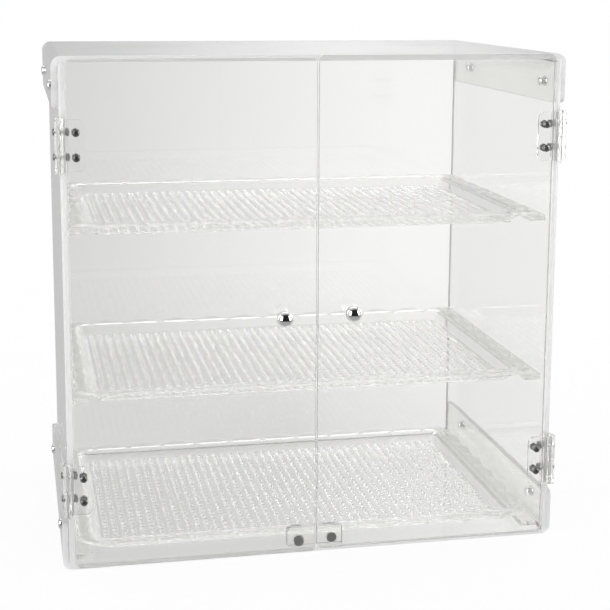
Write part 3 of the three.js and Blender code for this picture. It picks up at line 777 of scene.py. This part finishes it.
floor_paint = bpy.data.materials.new("light_table_white")
floor_paint.use_nodes = True
tree = floor_paint.node_tree
tree.nodes.clear()
glow = add_node(tree, "ShaderNodeEmission", values={"Color": linear("#ffffff"), "Strength": 0.93})
matt = add_node(tree, "ShaderNodeBsdfDiffuse", values={"Color": linear("#4a4a4a")})
both = add_node(tree, "ShaderNodeAddShader", links={0: glow.outputs[0], 1: matt.outputs[0]})
add_node(tree, "ShaderNodeOutputMaterial", links={"Surface": both.outputs[0]})
bm = bmesh.new()
bmesh.ops.create_grid(bm, x_segments=1, y_segments=1, size=20)
bmesh.ops.translate(bm, verts=bm.verts, vec=(0, 0, -0.0005))
floor = new_piece("floor", bm, floor_paint)
floor.visible_glossy = False
floor.visible_transmission = False
floor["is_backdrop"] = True

world = bpy.data.worlds.new("white_room")
scene.world = world
world.use_nodes = True
tree = world.node_tree
tree.nodes.clear()
ray = add_node(tree, "ShaderNodeLightPath")
way = add_node(tree, "ShaderNodeTexCoord").outputs["Generated"]
parts = add_node(tree, "ShaderNodeSeparateXYZ", links={0: way})
# The room differs by kind of ray. Seen directly it is plain white. A mirrored ray finds a bright patch on the
# far wall and a dark room behind the camera, above the level of the floor. A ray that has passed through a
# clear piece finds a far wall and floor that brighten to the right and a dimmer ceiling.
ahead = add_node(tree, "ShaderNodeMath", operation="MAXIMUM", links={0: parts.outputs["Y"]},
                 values={1: 0.05})
aside = add_node(tree, "ShaderNodeMath", operation="DIVIDE",
                 links={0: parts.outputs["X"], 1: ahead.outputs[0]})
from_patch = add_node(tree, "ShaderNodeMath", operation="SUBTRACT", links={0: aside.outputs[0]},
                      values={1: 0.235})
distance = add_node(tree, "ShaderNodeMath", operation="ABSOLUTE", links={0: from_patch.outputs[0]})
wall = add_node(tree, "ShaderNodeMapRange", links={"Value": distance.outputs[0]},
                interpolation_type="SMOOTHSTEP",
                values={"From Min": 0.0, "From Max": 0.24, "To Min": 1.0, "To Max": 0.64})
backdrop = add_node(tree, "ShaderNodeMapRange", links={"Value": aside.outputs[0]},
                    interpolation_type="SMOOTHSTEP",
                    values={"From Min": -0.06, "From Max": 0.32, "To Min": 0.7, "To Max": 1.08})
ground = add_node(tree, "ShaderNodeMapRange", links={"Value": aside.outputs[0]},
                  values={"From Min": 0.2, "From Max": 0.36, "To Min": 0.74, "To Max": 0.98})
low_down = add_node(tree, "ShaderNodeMapRange", links={"Value": parts.outputs["Z"]},
                    values={"From Min": -0.2, "From Max": -0.32})
set_piece = add_node(tree, "ShaderNodeMix", data_type="FLOAT",
                     links={0: low_down.outputs[0], 2: backdrop.outputs[0], 3: ground.outputs[0]})
far_side = add_node(tree, "ShaderNodeMapRange", links={"Value": parts.outputs["Y"]},
                    values={"From Min": 0.0, "From Max": 0.4})
level = add_node(tree, "ShaderNodeMix", data_type="FLOAT",
                 links={0: far_side.outputs[0], 3: set_piece.outputs[0]}, values={2: 1.0})
ceiling = add_node(tree, "ShaderNodeMapRange", links={"Value": parts.outputs["Z"]},
                   values={"From Min": 0.02, "From Max": 0.2, "To Min": 1.0, "To Max": 0.78})
through = add_node(tree, "ShaderNodeMath", operation="MULTIPLY",
                   links={0: level.outputs[0], 1: ceiling.outputs[0]})
behind = add_node(tree, "ShaderNodeMapRange", links={"Value": parts.outputs["Y"]},
                  interpolation_type="SMOOTHSTEP",
                  values={"From Min": -0.45, "From Max": 0.1, "To Min": 0.0, "To Max": 1.0})
underfoot = add_node(tree, "ShaderNodeMapRange", links={"Value": parts.outputs["Z"]},
                     values={"From Min": -0.3, "From Max": -0.4, "To Min": 0.0, "To Max": 0.75})
lit = add_node(tree, "ShaderNodeMath", operation="MAXIMUM",
               links={0: behind.outputs[0], 1: underfoot.outputs[0]})
dim = add_node(tree, "ShaderNodeMapRange", links={"Value": lit.outputs[0]},
               values={"To Min": 0.03, "To Max": 0.85})
mirrored = add_node(tree, "ShaderNodeMath", operation="MULTIPLY",
                    links={0: wall.outputs[0], 1: dim.outputs[0]})
seen = add_node(tree, "ShaderNodeMix", data_type="FLOAT",
                links={0: ray.outputs["Is Glossy Ray"], 3: mirrored.outputs[0]}, values={2: 1.0})
strength = add_node(tree, "ShaderNodeMix", data_type="FLOAT",
                    links={0: ray.outputs["Is Transmission Ray"], 2: seen.outputs[0], 3: through.outputs[0]})
sky = add_node(tree, "ShaderNodeBackground", links={"Strength": strength.outputs[0]},
               values={"Color": (1, 1, 1, 1)})
add_node(tree, "ShaderNodeOutputWorld", links={"Surface": sky.outputs[0]})

CASE_MIDDLE = Vector((0, 0, 0.25))

for name, spot, size, power in (("left_softbox", (-1.5, -0.9, 0.75), (0.7, 1.5), 26),
                                ("right_softbox", (1.5, -0.9, 0.75), (0.7, 1.5), 26),
                                ("top_softbox", (0.1, 0.9, 2.0), (2.2, 1.6), 14)):
    data = bpy.data.lights.new(name, "AREA")
    data.shape = "RECTANGLE"
    data.size, data.size_y = size
    data.energy = power
    lamp = bpy.data.objects.new(name, data)
    lamp.location = spot
    lamp.rotation_euler = (CASE_MIDDLE - Vector(spot)).to_track_quat("-Z", "Y").to_euler()
    lamp.visible_diffuse = False
    scene.collection.objects.link(lamp)

# The camera stands 1.3 m in front, a little left of the middle and above the lid, and looks down and right.
eye = Vector((-0.2777, -1.4488, 0.5495))
yaw, pitch, roll = 0.2073, 0.1700, 0.0052
lens = bpy.data.cameras.new("camera")
lens.sensor_width = 36
lens.lens = 83.69
lens.shift_x = -0.0090
lens.shift_y = -0.1274
lens.clip_start, lens.clip_end = 0.01, 60
camera = bpy.data.objects.new("camera", lens)
turned_right = Matrix.Rotation(-yaw, 4, "Z")
looking_down = Matrix.Rotation(math.pi / 2 - pitch, 4, "X")
facing = turned_right @ looking_down @ Matrix.Rotation(roll, 4, "Z")
camera.matrix_world = Matrix.Translation(eye) @ facing
scene.collection.objects.link(camera)
scene.camera = camera

low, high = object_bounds()
